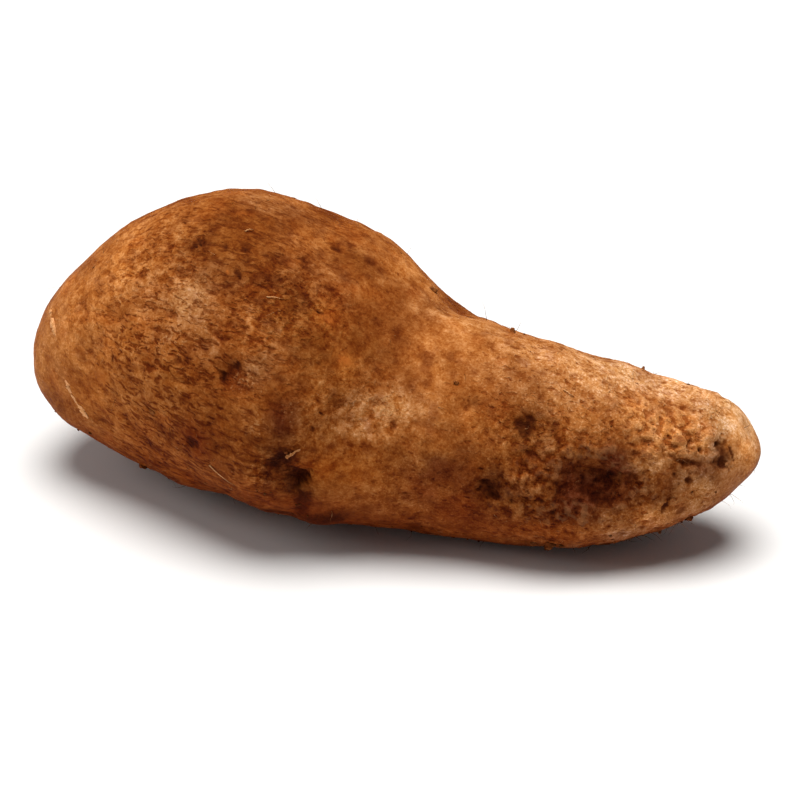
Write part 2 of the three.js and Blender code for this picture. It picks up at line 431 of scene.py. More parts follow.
# Broad swellings and hollows of the form: x and around, half length, half width and lift in millimetres.
trims = {
    "crown, head side": (-84, 83, 26, 19, -1.8),
    "head end": (-119, 176, 11, 16, 1.5),
    "head underside": (-107, 213, 13, 11, 1.3),
    "jaw underside": (-60, 222, 20, 11, 1.7),
    "fold underside": (-30, 222, 14, 12, 1.3),
    "neck underside": (-8, 223, 11, 12, 2.2),
    "nape": (20, 64, 14, 20, -2.7),
    "body top, rear": (66, 63, 15, 15, -1.9),
    "body top, fore": (91, 76, 15, 13, -1.7),
    "belly edge": (20, 224, 17, 12, -1.6),
    "belly edge, fore": (75, 223, 12, 11, 1.3),
    "tip shoulder": (108, 85, 9, 11, 0.5),
    "tip": (123, 100, 9, 13, -1.0),
    "tip underside": (112, 211, 8, 7, 0.6),
    "burr": (-77.5, 222, 2.8, 2.4, 1.2),
}


def blurred(values, passes):
    for _ in range(passes):
        values = (values + np.roll(values, 1, axis=1) + nextAround(values)) / 3
        values[1:-1] = (values[1:-1] + values[:-2] + values[2:]) / 3
    return values


# The spots of all these: row, column, half length, half width, turn, raggedness, softness, height and stains.
def pitSpots():
    for kind, density in (("pit", 0.35 + 1.2 * tailness + 0.3 * headness), ("wart", 0.3 + tailness)):
        shape = relief[kind]
        for row, column in scatter(shape["count"], density * (1 - cap) * (1 - bareEnd)):
            radius = rng.uniform(*shape["radius"])
            depth = rng.uniform(*shape["depth"])
            long, turn = radius * rng.uniform(1, 1.5), rng.uniform(-30, 30)
            yield row, column, long, radius, turn, 0.25, 0.95, -depth, {"scar": 1.1 * max(depth, 0)}


def trimSpots():
    for x, around, long, wide, lift in trims.values():
        yield (*gridPlace(x, around), long, wide, 0, 0.1, 0.95, lift, {})


def markSpots():
    for x, around, long, wide, look in marks.values():
        row, column = gridPlace(x, around)
        stain = {name: look[name] for name in ("scar", "rust", "dust") if name in look}
        ragged = 0.5 * min(1, 4 / long)
        yield row, column, long, wide, look.get("turn", 0), ragged, 0.95, look.get("lift", 0), stain
        for bead in [False] * look.get("pits", 0) + [True] * look.get("beads", 0):
            ahead, aside = rng.normal(0, 0.45, 2) * (long, wide) * mm
            spot = grid[row, column] + alongSkin[row, column] * ahead + aroundSkin[row, column] * aside
            near = divmod(int(np.linalg.norm(grid - spot, axis=2).argmin()), skin["columns"])
            depth = rng.uniform(0.4, 0.8)
            shape = rng.uniform(1.0, 1.8), rng.uniform(0.9, 1.4), rng.uniform(-60, 60), 0.3, 0.9
            yield *near, *shape, depth if bead else -depth, {} if bead else {"scar": 0.4 + 0.5 * depth}


def carve():
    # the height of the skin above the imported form, in millimetres, the stains of its marks, and its mottling
    lift = np.zeros(grid.shape[:2])
    for kind in ("swell", "lump", "knobble"):
        shape = relief[kind]
        lift += shape["height"] * lumps(shape["size"], shape["seed"]) * (1 - shape["endCalm"] * bareEnd)
    ripple = relief["ripple"]
    lift += ripple["height"] * (np.abs(lumps(ripple["size"], 6, ripple["stretch"])) - 0.4) * hatch

    stains = {name: np.zeros(grid.shape[:2]) for name in ("scar", "rust", "dust")}
    for *spot, height, stain in chain(pitSpots(), trimSpots(), markSpots()):
        patch, mask = spotMask(*spot)
        lift[patch] += height * mask
        for name, strength in stain.items():
            stains[name][patch] = np.maximum(stains[name][patch], strength * mask)

    # the crinkles go on last, and lie flatter in the stained marks
    worm = relief["crinkle"]
    calm = 1 - worm["scarCalm"] * smooth(blurred(stains["scar"], 12), 0.04, 0.24)
    ridge = 0.65 - 2.2 * np.abs(lumps(worm["size"], seed=7) + 0.35 * lumps(worm["fine"], seed=13))
    strength = np.clip(0.75 + 0.7 * lumps(11, seed=8), 0.2, 1.3)
    lift += worm["height"] * np.clip(ridge, -0.7, 0.6) * strength * crinkle * calm
    lift += 0.5 * worm["height"] * lumps(worm["fine"], seed=12) * crinkle * calm
    crumbles = {size: np.clip(lumps(size, seed=21) + 0.4 * lumps(size * 0.6, seed=22), -0.7, 0.5)
                for size in sorted({patch[4] for patch in roughPatches.values()})}
    mottling = np.zeros(grid.shape[:2])
    for x, around, long, wide, size, height, mottle in roughPatches.values():
        patch, mask = spotMask(*gridPlace(x, around), long, wide, 0, 0.3, 0.8)
        lift[patch] += height * mask * (calm * (1 - cap) * crumbles[size])[patch]
        mottling[patch] = np.maximum(mottling[patch], mottle * mask)
    return lift, stains, mottling


lift, stains, mottling = carve()
# how far each point lies below its surroundings, from -1 to 1; the skin's material paints shade in the hollows
# and a highlight on the ridges from it
hollow = np.clip((blurred(lift, 10) - lift) / 0.35, -1, 1)
points = grid + outward * (lift * mm)[..., None]
for end in (0, -1):
    points[end] = points[end].mean(axis=0)
points[..., 2] = np.maximum(points[..., 2], cadBox[0][2])
print("relief carved:", round(float(lift.min()), 2), "to", round(float(lift.max()), 2), "mm")


# ground colour: broad washes of tone over the skin
tones = {  # sRGB, 0 to 255
    "umber": (111, 55, 13),
    "bark": (129, 66, 20),
    "brown": (147, 80, 29),
    "ochre": (167, 98, 43),
    "orange": (171, 91, 28),
    "honey": (186, 114, 54),
    "flax": (221, 144, 75),
    "tan": (202, 138, 81),
    "pale": (247, 191, 134),
    "ash": (164, 107, 60),
    "redwood": (113, 46, 10),
    "liver": (93, 38, 13),
    "soot": (71, 28, 7),
    "scar": (50, 20, 6),
    "rust": (176, 96, 37),
    "dust": (196, 141, 88),
    "straw": (222, 168, 114),
}

# Washes, laid over each other in this order: x and around, how far each reaches along and across, in
# millimetres, to where it fades to a third, then its tone and its strength.
washes = {
    "light head end": (-106, 157, 20, 28, "honey", 0.9),
    "light head end, far": (-104, 40, 18, 24, "ochre", 0.6),
    "upper head": (-84, 125, 22, 20, "honey", 0.85),
    "upper head, fore": (-69, 119, 7, 8, "honey", 0.9),
    "upper cheek": (-69, 140, 9, 5, "tan", 0.5),
    "cheek shade": (-64, 158, 8, 6, "bark", 0.45),
    "cheek, fore": (-48, 151, 5, 4, "ochre", 0.6),
    "cheek, low": (-57, 183, 6, 8, "honey", 0.6),
    "orange cheek": (-86, 184, 15, 14, "orange", 0.9),
    "bright cheek": (-84, 163, 14, 15, "honey", 0.55),
    "lower cheek": (-78, 203, 24, 16, "orange", 0.75),
    "light jaw": (-91, 203, 13, 9, "honey", 0.9),
    "light cheek": (-72, 182, 13, 14, "honey", 0.8),
    "light cheek, high": (-67, 168, 7, 5, "honey", 0.65),
    "dark cheek, rear": (-54, 164, 5, 4, "umber", 0.45),
    "rusty cheek": (-78, 182, 4.5, 5, "bark", 0.65),
    "dark crown": (-46, 108, 19, 20, "umber", 0.85),
    "dark brow": (-48, 124, 16, 7, "umber", 0.75),
    "dark crown, near": (-20, 124, 15, 16, "umber", 0.95),
    "crown edge": (-46, 80, 12, 7, "ash", 0.5),
    "light crown": (-27, 94, 7, 6, "ochre", 0.9),
    "brown crown": (-17, 104, 15, 12, "liver", 0.4),
    "crown dip": (-12, 86, 9, 7, "umber", 0.75),
    "orange shoulder": (-2, 72, 15, 11, "honey", 0.9),
    "dark valley": (-8, 135, 10, 7, "umber", 0.95),
    "dark valley, fore": (6, 125, 9, 7, "umber", 0.85),
    "dark valley, high": (11, 114, 8, 9, "bark", 0.85),
    "dark valley, low": (-1, 151, 7, 5, "umber", 0.85),
    "red valley": (-8, 121, 6, 5, "orange", 0.4),
    "red valley, fore": (1, 136, 5, 5, "orange", 0.35),
    "ash cheek": (-53, 139, 11, 10, "ash", 0.9),
    "ash cheek, low": (-51, 144, 5, 4, "tan", 0.45),
    "light cheek, fore": (-34, 138, 8, 7, "ochre", 0.8),
    "cheek, by the scar": (-41, 151, 5, 5, "ash", 0.55),
    "dull cheek": (-36, 168, 18, 20, "bark", 0.75),
    "dark cheek": (-31, 155, 4, 6, "redwood", 0.6),
    "cheek, past the scar": (-24, 149, 5, 5, "ash", 0.85),
    "scar shade": (-29.5, 159, 5, 4, "redwood", 0.4),
    "light spot": (-15, 147, 5, 4, "ochre", 0.6),
    "red bruise": (-45, 187, 8, 8, "redwood", 0.9),
    # the dark fold washes are painted shade in the crease below the neck
    "dark fold, top": (-14, 166, 7, 8, "liver", 1.0),
    "dark fold": (-14.3, 185, 7.2, 10, "soot", 0.95),
    "dark fold, foot": (-11, 208, 6.5, 16, "soot", 0.95),
    "behind the fold": (-21.5, 191, 4, 8, "brown", 0.55),
    "jaw, low": (-52, 213, 9, 6, "orange", 0.6),
    # painted shade along the underside
    "shaded underside": (-3, 218, 18, 9, "soot", 0.95),
    "light neck": (17, 144, 8, 6, "tan", 0.9),
    "light neck, low": (7, 159, 7, 6, "tan", 0.8),
    "orange neck": (9, 180, 15, 14, "brown", 0.85),
    "orange neck, low": (6, 183, 20, 6, "orange", 0.55),
    "fold lip": (-5, 184, 4.5, 8, "orange", 0.6),
    "valley, light": (-5.5, 158, 4, 9, "ochre", 0.65),
    "neck, high": (10, 135, 5, 5, "ochre", 0.6),
    "neck top": (30, 99, 15, 18, "honey", 0.85),
    "neck side": (43, 127, 15, 9, "brown", 0.65),
    "neck side, low": (30, 167, 6, 5, "umber", 0.45),
    "neck crest": (28, 84, 14, 9, "tan", 0.7),
    "neck, fore": (24, 126, 8, 6, "honey", 0.6),
    "body top": (68, 92, 26, 18, "tan", 0.85),
    "body crest": (79, 79, 9, 7, "pale", 0.6),
    "body shoulder": (62, 121, 8, 6, "tan", 0.6),
    "dull body": (42, 146, 16, 8, "ochre", 0.75),
    "body side, top": (43, 144, 6, 5, "brown", 0.6),
    # dark belly side, dark belly and body side: darker tones on the body's lower near side, partly painted
    # shade
    "dark belly side": (36, 173, 12, 10, "liver", 0.85),
    "dark belly": (40, 196, 20, 13, "redwood", 0.8),
    "body side": (62, 186, 14, 12, "umber", 0.8),
    "body side, high": (52, 165, 10, 6, "brown", 0.7),
    "body side, light": (60, 164, 5, 4, "ochre", 0.5),
    "dark patch": (59, 142, 7, 7, "umber", 0.85),
    "dark patch, low": (62, 151, 9, 5, "umber", 0.65),
    "pit cluster": (51.5, 181, 6, 6, "soot", 0.6),
    # The flank hollow washes below are a dark tone, partly painted shade in the hollow.
    "flank hollow": (81, 173, 18, 11, "liver", 1.0),
    "flank hollow, rear": (75, 173, 7, 9, "liver", 0.95),
    "flank hollow, lip": (67, 176, 4, 6, "brown", 0.75),
    "belly edge": (74, 205, 12, 5, "orange", 0.7),
    "flank hollow, foot": (86, 183, 13, 7, "liver", 0.85),
    "flank hollow, heart": (91, 161, 4, 4, "liver", 0.6),
    "flank shade": (74, 128, 9, 6, "brown", 0.8),
    "brow": (97, 122, 14, 10, "flax", 0.75),
    "brow, foot": (99, 154, 5, 6, "tan", 0.5),
    "brow, low": (93, 144, 4, 4, "flax", 0.6),
    "brow, rear": (84, 141, 10, 5, "brown", 0.9),
    "flank hollow, fore": (86.5, 156, 5, 9, "liver", 1.0),
    "tip crest": (96, 78, 12, 9, "pale", 0.6),
    "tip crest, fore": (111, 76, 6, 5, "pale", 0.6),
    "body crest, fore": (90, 99, 6, 6, "ochre", 0.75),
    "flank lip": (98, 206, 17, 8, "flax", 0.95),
    # painted light: the pale tone lightens the flank's lower lip where it faces down
    "flank lip, foot": (91, 213, 7, 5, "pale", 0.85),
    "flank lip, fore": (112, 212, 5, 5, "straw", 0.6),
    "growing tip": (120, 98, 12, 16, "straw", 1.0),
    "growing tip, rear": (112.5, 103, 4, 6, "pale", 0.4),
    "growing tip, heart": (119, 112, 8, 9, "pale", 0.2),
    "growing tip, top": (118, 88, 5, 5, "tan", 0.55),
    "behind the tip eye": (111.5, 125, 3, 3.5, "orange", 0.75),
    "tip side": (124, 165, 6, 8, "flax", 0.85),
    "tip side, foot": (121.5, 173, 4, 5, "ochre", 0.55),
    "low tip": (113, 188, 9, 12, "tan", 0.8),
    "flank, fore": (102, 177, 7, 7, "umber", 0.6),
    "tip eye": (117.2, 148, 5, 5.5, "liver", 0.7),
    "tip eye, foot": (112.5, 162, 7, 4.5, "liver", 0.75),
    "before the tip eye": (121.5, 133, 4, 4, "flax", 0.8),
    "inside the tip eye": (117.8, 136.5, 2.5, 3, "flax", 0.6),
    "tip, fore": (122.5, 147, 3, 4, "flax", 0.45),
    "knuckle behind the eye": (111.5, 140, 2.5, 3, "flax", 0.7),
    "below the tip eye": (118.7, 186, 4, 4, "brown", 0.5),
    "far cheek": (-50, 10, 30, 20, "bark", 0.7),
    "far neck": (10, 20, 20, 14, "umber", 0.7),
    "far body": (60, 20, 24, 14, "ochre", 0.8),
    "far flank": (84, 340, 14, 10, "umber", 0.8),
}

# Over the washes: patches of uneven lightness, each with its size in millimetres, its strength and its seed,
# then soft dark bruises and orange blushes, and painted shade, a darker red where the skin faces down. endCalm
# is how much of the patches and bruises the bare end lacks.
blotches = {
    "patches": [(16, 0.13, 19), (8, 0.13, 14), (3.6, 0.09, 15)],
    "patchTint": (1.0, 1.4, 1.9),  # where the skin is darker it is redder, too
    "bruise": 0.6, "bruiseTint": (0.45, 0.60, 0.68),
    "blush": 0.4, "blushTint": (0.08, -0.10, -0.30),
    "paintedUnderShade": 0.8,
    "endCalm": {"patches": 0.6, "bruise": 0.7},
}


def groundColour():
    paint = {name: np.array(linear(*tone)[:3]) for name, tone in tones.items()}
    dark, middle, light = paint["bark"], paint["brown"], paint["ochre"]
    broad = (np.clip(0.5 + 0.9 * lumps(30, seed=9) + 0.5 * lumps(12, seed=10), 0, 1) * 2)[..., None]
    colour = np.where(broad < 1, dark + (middle - dark) * broad, middle + (light - middle) * (broad - 1))
    wander = 0.35 * lumps(9, seed=11) + 0.25 * lumps(4, seed=12)
    for x, around, long, wide, tone, strength in washes.values():
        row, column = gridPlace(x, around)
        away = (grid - grid[row, column]) / mm
        along = away @ alongSkin[row, column]
        across = np.sqrt(np.maximum((away ** 2).sum(axis=-1) - along ** 2, 0))
        distance = np.sqrt((along / long) ** 2 + (across / wide) ** 2) + wander
        weight = (strength * np.exp(-np.maximum(distance, 0) ** 2))[..., None]
        colour = colour + (paint[tone] - colour) * weight
    # painted shade: the skin turns a darker red as it faces down
    paintedUnderShade = (blotches["paintedUnderShade"] * facingDown(-0.1, 0.75))[..., None]
    colour = colour + (paint["redwood"] - colour) * paintedUnderShade
    patchy = 1
    for size, strength, seed in blotches["patches"]:
        patchy = patchy + strength * lumps(size, seed)
    patchy = 1 + (patchy - 1) * (1 - blotches["endCalm"]["patches"] * bareEnd)
    bruise = blotches["bruise"] * smooth(lumps(6, seed=16) + 0.5 * lumps(2.8, seed=17), 0.4, 1.0)
    bruise = bruise * (1 - blotches["endCalm"]["bruise"] * bareEnd) * (1 - cap)
    blush = blotches["blush"] * smooth(lumps(8, seed=18), 0.3, 0.9)
    colour = colour * patchy[..., None] ** blotches["patchTint"]
    colour = colour * (1 - bruise[..., None] * blotches["bruiseTint"])
    return colour * (1 + blush[..., None] * blotches["blushTint"])


ground = groundColour()
print("ground colour washed on:", len(washes), "washes")


def onePerPoint(values):
    # the grid's values in the order of the mesh's points; each end row is a single point
    return np.concatenate([values[0, :1], values[1:-1].reshape(-1, *values.shape[2:]), values[-1, :1]])


def finishPiece(piece, fields, colour):
    # smooth shading, a number field for each name, and the ground colour, one value for each point
    mesh = piece.data
    mesh.polygons.foreach_set("use_smooth", [True] * len(mesh.polygons))
    for name, values in fields.items():
        attribute = mesh.attributes.new(name, "FLOAT", "POINT")
        attribute.data.foreach_set("value", np.array(values, dtype=np.float32))
    attribute = mesh.attributes.new("ground", "FLOAT_COLOR", "POINT")
    attribute.data.foreach_set("color", np.insert(colour, 3, 1, axis=1).astype(np.float32).ravel())


def skinPiece():
    rows, columns = grid.shape[:2]
    inner = rows - 2  # rows that aren't an end point
    verts = onePerPoint(points)

    def at(r, c):
        return 1 + r * columns + c % columns

    faces = [(0, at(0, c + 1), at(0, c)) for c in range(columns)]
    faces += [(at(r, c), at(r, c + 1), at(r + 1, c + 1), at(r + 1, c))
              for r in range(inner - 1) for c in range(columns)]
    faces += [(len(verts) - 1, at(inner - 1, c), at(inner - 1, c + 1)) for c in range(columns)]
    piece = newPiece("tuberSkin", verts, faces)

    # the map runs once around and once along, with its seam underneath the far side
    layer = piece.data.uv_layers.new(name="OFBake")
    corners = [[(c + 0.5, 0), (c + 1, 1), (c, 1)] for c in range(columns)]
    corners += [[(c, r + 1), (c + 1, r + 1), (c + 1, r + 2), (c, r + 2)]
                for r in range(inner - 1) for c in range(columns)]
    corners += [[(c + 0.5, rows - 1), (c, rows - 2), (c + 1, rows - 2)] for c in range(columns)]
    flat = np.array([corner for face in corners for corner in face]) / (columns, rows - 1)
    layer.data.foreach_set("uv", (0.002 + 0.996 * flat).ravel())

    fields = {"hollow": hollow, "hatch": hatch, "freckle": freckle, "crinkle": crinkle, "cap": cap,
              "bareEnd": bareEnd, "uneven": mottling, **stains}
    finishPiece(piece, {name: onePerPoint(values) for name, values in fields.items()}, onePerPoint(ground))
    return piece


# shader helpers and the groups that the materials use
def addNode(tree, kind, sockets=None, **settings):
    # a node with its settings and its inputs: a socket is linked, anything else is set as the value
    node = tree.nodes.new(kind)
    for name, value in settings.items():
        setattr(node, name, value)
    for name, value in (sockets or {}).items():
        if isinstance(value, bpy.types.NodeSocket):
            tree.links.new(value, node.inputs[name])
        else:
            node.inputs[name].default_value = value
    return node


def calc(tree, operation, *values):
    return addNode(tree, "ShaderNodeMath", dict(enumerate(values)), operation=operation).outputs[0]


def plus(tree, first, second):
    return calc(tree, "ADD", first, second)


def minus(tree, first, second):
    return calc(tree, "SUBTRACT", first, second)


def times(tree, first, second):
    return calc(tree, "MULTIPLY", first, second)


def vectorCalc(tree, operation, first, second):
    # the second input is a number where the first is scaled, and otherwise a vector
    other = "Scale" if operation == "SCALE" else 1
    return addNode(tree, "ShaderNodeVectorMath", {0: first, other: second}, operation=operation).outputs[0]


def ramp(tree, value, low, high, start=0.0, end=1.0):
    # start to end, smoothly, as the value goes from low to high
    sockets = {"Value": value, "From Min": low, "From Max": high, "To Min": start, "To Max": end}
    return addNode(tree, "ShaderNodeMapRange", sockets, interpolation_type="SMOOTHSTEP").outputs["Result"]


def blend(tree, factor, first, second, kind="MIX"):
    sockets = {0: factor, 6: first, 7: second}  # 6, 7 and output 2 are the mix node's colours
    return addNode(tree, "ShaderNodeMix", sockets, data_type="RGBA", blend_type=kind).outputs[2]


def noiseAt(tree, vector, scale, detail, roughness, output="Fac"):
    sockets = {"Vector": vector, "Scale": scale, "Detail": detail, "Roughness": roughness}
    return addNode(tree, "ShaderNodeTexNoise", sockets).outputs[output]


def field(tree, name, output="Fac"):
    return addNode(tree, "ShaderNodeAttribute", attribute_name=name).outputs[output]


def addBump(tree, shader, height, strength, depth):
    # depth is in millimetres
    bump = addNode(tree, "ShaderNodeBump", {"Strength": strength, "Distance": depth * mm, "Height": height})
    tree.links.new(bump.outputs["Normal"], shader.inputs["Normal"])


def newGroup(name, inputs, outputs):
    tree = bpy.data.node_groups.new(name, "ShaderNodeTree")
    for label, kind, value in inputs:
        socket = tree.interface.new_socket(label, in_out="INPUT", socket_type="NodeSocket" + kind)
        if value is not None:
            socket.default_value = value
    for label, kind in outputs:
        tree.interface.new_socket(label, in_out="OUTPUT", socket_type="NodeSocket" + kind)
    return tree, tree.nodes.new("NodeGroupInput").outputs, tree.nodes.new("NodeGroupOutput").inputs


def placeGroup(tree, group, **sockets):
    node = tree.nodes.new("ShaderNodeGroup")
    node.node_tree = group
    for name, value in sockets.items():
        if isinstance(value, bpy.types.NodeSocket):
            tree.links.new(value, node.inputs[name])
        else:
            node.inputs[name].default_value = value
    return node.outputs


def mottleGroup():
    # soft blotches of one size
    tree, given, result = newGroup("mottle", [("Vector", "Vector", None), ("Size", "Float", 0.01),
                                              ("Softness", "Float", 0.15)], [("Factor", "Float")])
    wave = noiseAt(tree, given["Vector"], calc(tree, "DIVIDE", 1.0, given["Size"]), 4.0, 0.6)
    low, high = minus(tree, 0.5, given["Softness"]), plus(tree, 0.5, given["Softness"])
    tree.links.new(ramp(tree, wave, low, high), result["Factor"])
    return tree


def streakGroup():
    # short wavy dashes drawn out along X, then tilted about Y
    tree, given, result = newGroup(
        "streaks", [("Vector", "Vector", None), ("Length", "Float", 0.005), ("Width", "Float", 0.0015),
                    ("Wander", "Float", 0.004), ("Cover", "Float", 0.43), ("Tilt", "Float", -0.15)],
        [("Mask", "Float")])
    drift = noiseAt(tree, given["Vector"], 210, 1.0, 0.5, "Color")
    drift = vectorCalc(tree, "SCALE", vectorCalc(tree, "SUBTRACT", drift, (0.5, 0.5, 0.5)), given["Wander"])
    place = vectorCalc(tree, "ADD", given["Vector"], drift)
    place = addNode(tree, "ShaderNodeVectorRotate", {"Vector": place, "Angle": given["Tilt"]},
                    rotation_type="Y_AXIS").outputs[0]
    sides = {"X": given["Length"], "Y": given["Width"], "Z": given["Width"]}
    size = addNode(tree, "ShaderNodeCombineXYZ", sides)
    wave = noiseAt(tree, vectorCalc(tree, "DIVIDE", place, size.outputs[0]), 1.0, 2.0, 0.5)
    low = minus(tree, given["Cover"], 0.16)
    tree.links.new(ramp(tree, wave, low, given["Cover"], 1.0, 0.0), result["Mask"])
    return tree


def shadeGroup():
    # a colour made darker and redder, or lighter and dustier, by one value; Green and Blue are how much
    # faster than red they follow it
    tree, given, result = newGroup(
        "shade", [("Color", "Color", (0.3, 0.15, 0.06, 1)), ("Value", "Float", 1.0), ("Green", "Float", 1.7),
                  ("Blue", "Float", 3.0)], [("Color", "Color")])
    green, blue = (calc(tree, "POWER", given["Value"], given[name]) for name in ("Green", "Blue"))
    tint = addNode(tree, "ShaderNodeCombineColor", {"Red": given["Value"], "Green": green, "Blue": blue})
    tree.links.new(blend(tree, 1.0, given["Color"], tint.outputs["Color"], "MULTIPLY"), result["Color"])
    return tree


def dotGroup():
    # scattered dots of uneven size; Share is how many of the cells have one
    tree, given, result = newGroup(
        "pinDots", [("Vector", "Vector", None), ("Spacing", "Float", 0.004), ("Size", "Float", 0.25),
                    ("Share", "Float", 0.6)], [("Mask", "Float"), ("Rim", "Float")])
    drift = vectorCalc(tree, "SCALE", noiseAt(tree, given["Vector"], 1100, 2.0, 0.5, "Color"), 0.0016)
    cell = addNode(tree, "ShaderNodeTexVoronoi", {
        "Vector": vectorCalc(tree, "ADD", given["Vector"], drift), "Randomness": 1.0,
        "Scale": calc(tree, "DIVIDE", 1.0, given["Spacing"])}).outputs
    chance = addNode(tree, "ShaderNodeSeparateColor", {"Color": cell["Color"]}).outputs
    size = times(tree, given["Size"], plus(tree, 0.5, chance["Green"]))
    kept = calc(tree, "LESS_THAN", chance["Red"], given["Share"])
    inside = ramp(tree, cell["Distance"], times(tree, size, 0.45), size, 1.0, 0.0)
    outer = ramp(tree, cell["Distance"], size, times(tree, size, 1.8), 1.0, 0.0)
    tree.links.new(times(tree, inside, kept), result["Mask"])
    tree.links.new(times(tree, minus(tree, outer, inside), kept), result["Rim"])
    return tree


def dustGroup():
    # loose dust that lies in small grains over a colour
    tree, given, result = newGroup(
        "dusting", [("Color", "Color", (0.3, 0.15, 0.06, 1)), ("Dust", "Color", (0.5, 0.35, 0.2, 1)),
                    ("Amount", "Float", 0.5), ("Vector", "Vector", None), ("Grain", "Float", 0.0009)],
        [("Color", "Color")])
    speck = noiseAt(tree, given["Vector"], calc(tree, "DIVIDE", 1.0, given["Grain"]), 3.0, 0.7)
    cut = ramp(tree, given["Amount"], 0.0, 1.0, 0.72, 0.40)
    mask = ramp(tree, speck, minus(tree, cut, 0.04), plus(tree, cut, 0.16))
    mask = times(tree, mask, ramp(tree, given["Amount"], 0.0, 0.3))
    tree.links.new(blend(tree, mask, given["Color"], given["Dust"]), result["Color"])
    return tree


mottle, streaks, shade = mottleGroup(), streakGroup(), shadeGroup()
pinDots, dusting = dotGroup(), dustGroup()


# the finer pieces, seated on the finished skin
skinOut = unit(nextAround(points) - np.roll(points, 1, axis=1))
skinOut = unit(np.cross(skinOut, unit(np.gradient(points, axis=0))))


def seat(row, column):
    # a place on the skin, with the directions out of it, along it and around it
    return points[row, column], skinOut[row, column], alongSkin[row, column], aroundSkin[row, column]


def onSkin(x, around):
    return seat(*gridPlace(x, around))


def tube(path, radii, sides, facing, flat=1.0):
    # a closed tapering tube along a path, squashed by flat in the direction it faces
    path, radii = np.asarray(path), np.asarray(radii)
    tangent = unit(np.gradient(path, axis=0))
    side = unit(np.cross(tangent, facing))
    rise = unit(np.cross(side, tangent))
    angle = np.arange(sides) * 2 * math.pi / sides
    ring = np.cos(angle)[None, :, None] * side[:, None] + flat * np.sin(angle)[None, :, None] * rise[:, None]
    verts = (path[:, None] + radii[:, None, None] * ring).reshape(-1, 3)
    foot, end, last = len(verts), len(verts) + 1, len(verts) - sides
    pairs = [(j, (j + 1) % sides) for j in range(sides)]
    faces = [(i + j, i + sides + j, i + sides + k, i + k) for i in range(0, last, sides) for j, k in pairs]
    faces += [(foot, j, k) for j, k in pairs]
    faces += [(end, last + k, last + j) for j, k in pairs]
    return np.concatenate([verts, path[:1], path[-1:]]), faces


def perPoint(values, sides):
    # a value for each ring of a tube, as one for each of its points; the two end points come last
    return np.append(np.repeat(values, sides), (values[0], values[-1]))


def gather(name, parts, material):
    # one mesh of many closed parts; tone is a number from 0 to 1 for each part, end runs along it, and under
    # is the colour of the skin below
    verts, faces, tone, end, under = [], [], [], [], []
    count = 0
    for partVerts, partFaces, partTone, partEnd in parts:
        near = np.linalg.norm(points - partVerts.mean(axis=0), axis=2).argmin()
        under += [ground.reshape(-1, 3)[near]] * len(partVerts)
        verts.append(partVerts)
        faces += [tuple(count + corner for corner in face) for face in partFaces]
        tone += [partTone] * len(partVerts)
        end += list(partEnd)
        count += len(partVerts)
    verts = np.concatenate(verts)
    verts[:, 2] = np.maximum(verts[:, 2], cadBox[0][2])
    piece = newPiece(name, verts, faces)
    finishPiece(piece, {"tone": tone, "end": end}, np.array(under))
    piece.data.materials.append(material)
    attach(piece, "root")
    print(name, "made:", len(parts), "parts,", len(faces), "faces")


# Each fine piece has a dictionary of its own, in millimetres. Tone and otherTone are what its parts are
# mixed from, endTone is at their ends, skinShare is how much of the colour of the skin below is in those that
# aren't of the other tone, and mottle is the size of their blotches.
roots = {
    "count": 260, "length": (2.2, 6.5), "radius": (0.05, 0.10), "steps": 7, "sides": 4,
    "sunk": 0.3,  # how far below the skin each starts
    "wander": 0.22, "droop": 0.05, "taper": 0.8,
    "namedRadius": 0.11, "fibreSteps": 9, "fibreSides": 6, "fibreTaper": 0.6,
    "tone": (84, 46, 22), "otherTone": (214, 160, 108), "endTone": (84, 46, 22), "skinShare": 0.0,
    "mottle": 1.2, "roughness": 0.75,
}
# fine roots with a place of their own: lean is the direction along and around the skin, and out of it
namedRoots = [
    {"x": 94, "around": 231, "length": 5.5, "lean": (0.9, 0.5, 1.0)},
    {"x": 92, "around": 230, "length": 3.5, "lean": (0.5, 0.3, 1.0)},
    {"x": 107, "around": 226, "length": 4.5, "lean": (0.9, 0.3, 0.8)},
    {"x": 74, "around": 219, "length": 3.2, "lean": (0.6, 0.6, 1.0)},
    {"x": 62, "around": 222, "length": 3.0, "lean": (-0.4, 0.4, 1.0)},
    {"x": 121, "around": 92, "length": 4.0, "lean": (0.6, -0.4, 1.0)},
    {"x": 41, "around": 73, "length": 6.5, "lean": (0.9, -0.3, 0.9)},
    {"x": 31, "around": 70, "length": 7.5, "lean": (-0.5, -0.3, 1.0)},
    {"x": 12, "around": 68, "length": 2.0, "lean": (0.3, 0.0, 1.0)},
    {"x": 24, "around": 72, "length": 4.0, "lean": (1.0, 0.0, 0.7)},
]
# pale fibres that lie on the skin from one place to another
fibres = [
    {"from": (-28, 125), "to": (-22, 123), "radius": 0.2},
    {"from": (-40, 196), "to": (-31, 201), "radius": 0.20},
    {"from": (-44.5, 103), "to": (-42.5, 101), "radius": 0.22},
    {"from": (66, 116), "to": (70, 119), "radius": 0.2},
    {"from": (-66, 30), "to": (-58, 36), "radius": 0.22},
]


def hairRoot(row, column, length, lean, radius, tone):
    # a root that starts just under the skin, wanders as it grows and thins to its end
    base, out, along, around = seat(row, column)
    heading = unit(out * lean[2] + along * lean[0] + around * lean[1])
    path = [base - out * roots["sunk"] * mm]
    for _ in range(roots["steps"]):
        path.append(path[-1] + heading * length * mm / roots["steps"])
        heading = unit(heading + rng.normal(0, roots["wander"], 3) + (0, 0, -roots["droop"]))
    run = np.linspace(0, 1, len(path))
    radii = radius * mm * (1 - roots["taper"] * run)
    verts, faces = tube(path, radii, roots["sides"], unit(np.cross(along, out)))
    return verts, faces, tone, perPoint(run, roots["sides"])


